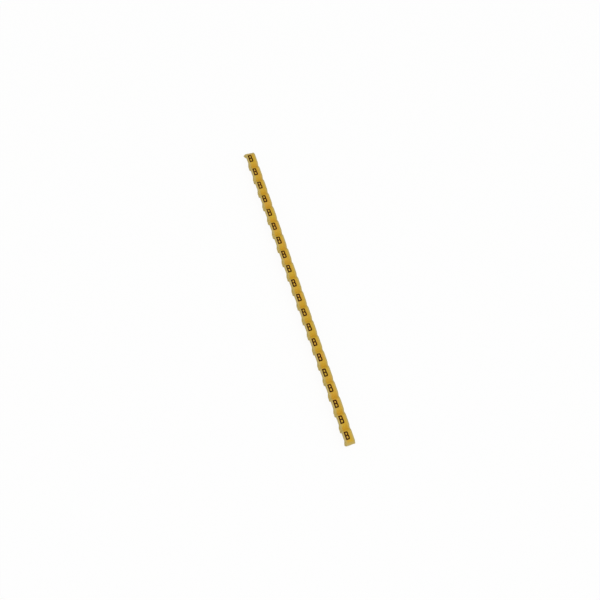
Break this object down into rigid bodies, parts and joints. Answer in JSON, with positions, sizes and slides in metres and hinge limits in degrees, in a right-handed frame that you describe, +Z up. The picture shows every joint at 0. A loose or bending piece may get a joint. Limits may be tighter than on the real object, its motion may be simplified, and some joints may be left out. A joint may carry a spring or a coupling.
{
  "type": "cable marker strip",
  "caption": "Snap-off strip of clip-on cable markers, each a flat label on two legs that close round a wire channel running across the strip, with a small rib on the left of each joint.",
  "frame": {"origin": "middle of the strip's outer box, on the plane that the feet of the legs stand on; the ribs and the gate stub on the left make the box wider than the labels, whose middle is 0.26 mm to the right of the origin", "axes": "+Y along the strip towards its first marker, +X across the strip along every wire channel, +Z up out of the labels"},
  "size_m": [0.0028, 0.078, 0.0032],
  "materials": {
    "yellow_nylon": "yellow moulded nylon, soft gloss"
  },
  "bodies": {
    "root": {"marker_strip": "yellow_nylon"}
  },
  "joints": []
}
